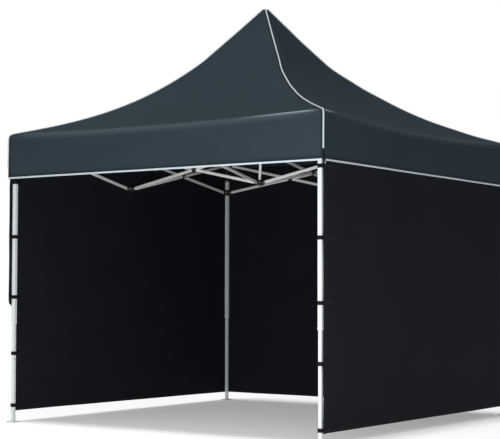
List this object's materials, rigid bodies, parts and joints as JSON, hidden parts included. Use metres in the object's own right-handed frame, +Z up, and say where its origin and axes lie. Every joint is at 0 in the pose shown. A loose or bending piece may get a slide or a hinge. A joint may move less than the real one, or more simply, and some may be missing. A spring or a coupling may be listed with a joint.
{
  "type": "pop-up canopy tent",
  "caption": "Pop-up canopy tent: peaked fabric roof with a valance on a scissor frame, telescoping square legs, and side walls strapped to the front legs, with the front left open.",
  "frame": {"origin": "on the ground at the tent's centre, between the four legs", "axes": "+Z up, +X to the right when looking in through the open front, the open front faces -Y"},
  "size_m": [3.004, 3.004, 3.4162],
  "materials": {
    "leg_steel": "white powder coat",
    "bar_steel": "light grey hammered powder coat",
    "black_plastic": "moulded, matt",
    "roof_cloth": "coated black woven cloth, slightly blue",
    "wall_cloth": "coated black woven cloth"
  },
  "bodies": {
    "frame_and_cover": {"outer_leg_front_left": "leg_steel", "top_bracket_front_left": "black_plastic", "slider_front_left": "black_plastic", "outer_leg_front_right": "leg_steel", "top_bracket_front_right": "black_plastic", "slider_front_right": "black_plastic", "outer_leg_back_right": "leg_steel", "top_bracket_back_right": "black_plastic", "slider_back_right": "black_plastic", "outer_leg_back_left": "leg_steel", "top_bracket_back_left": "black_plastic", "slider_back_left": "black_plastic", "front_upper_joint": "black_plastic", "front_lower_joint": "black_plastic", "front_scissor_left": "bar_steel", "front_scissor_right": "bar_steel", "inner_scissor_front": "bar_steel", "roof_panel_front": "roof_cloth", "valance_front": "roof_cloth", "right_upper_joint": "black_plastic", "right_lower_joint": "black_plastic", "right_scissor_front": "bar_steel", "right_scissor_back": "bar_steel", "inner_scissor_right": "bar_steel", "roof_panel_right": "roof_cloth", "valance_right": "roof_cloth", "back_upper_joint": "black_plastic", "back_lower_joint": "black_plastic", "back_scissor_right": "bar_steel", "back_scissor_left": "bar_steel", "inner_scissor_back": "bar_steel", "roof_panel_back": "roof_cloth", "valance_back": "roof_cloth", "left_upper_joint": "black_plastic", "left_lower_joint": "black_plastic", "left_scissor_back": "bar_steel", "left_scissor_front": "bar_steel", "inner_scissor_left": "bar_steel", "roof_panel_left": "roof_cloth", "valance_left": "roof_cloth", "upper_hub": "black_plastic", "lower_hub": "black_plastic", "centre_pole": "bar_steel", "left_wall": "wall_cloth", "right_wall": "wall_cloth", "back_wall": "wall_cloth"},
    "sliding_leg_front_left": {"inner_leg_front_left": "leg_steel"},
    "sliding_leg_front_right": {"inner_leg_front_right": "leg_steel"},
    "sliding_leg_back_right": {"inner_leg_back_right": "leg_steel"},
    "sliding_leg_back_left": {"inner_leg_back_left": "leg_steel"}
  },
  "joints": [
    {"name": "leg_height_front_left", "type": "slide", "parent": "frame_and_cover", "child": "sliding_leg_front_left", "axis": [0, 0, 1], "range_m": [-0.2, 0.06]},
    {"name": "leg_height_front_right", "type": "slide", "parent": "frame_and_cover", "child": "sliding_leg_front_right", "axis": [0, 0, 1], "range_m": [-0.2, 0.06]},
    {"name": "leg_height_back_right", "type": "slide", "parent": "frame_and_cover", "child": "sliding_leg_back_right", "axis": [0, 0, 1], "range_m": [-0.2, 0.06]},
    {"name": "leg_height_back_left", "type": "slide", "parent": "frame_and_cover", "child": "sliding_leg_back_left", "axis": [0, 0, 1], "range_m": [-0.2, 0.06]}
  ]
}
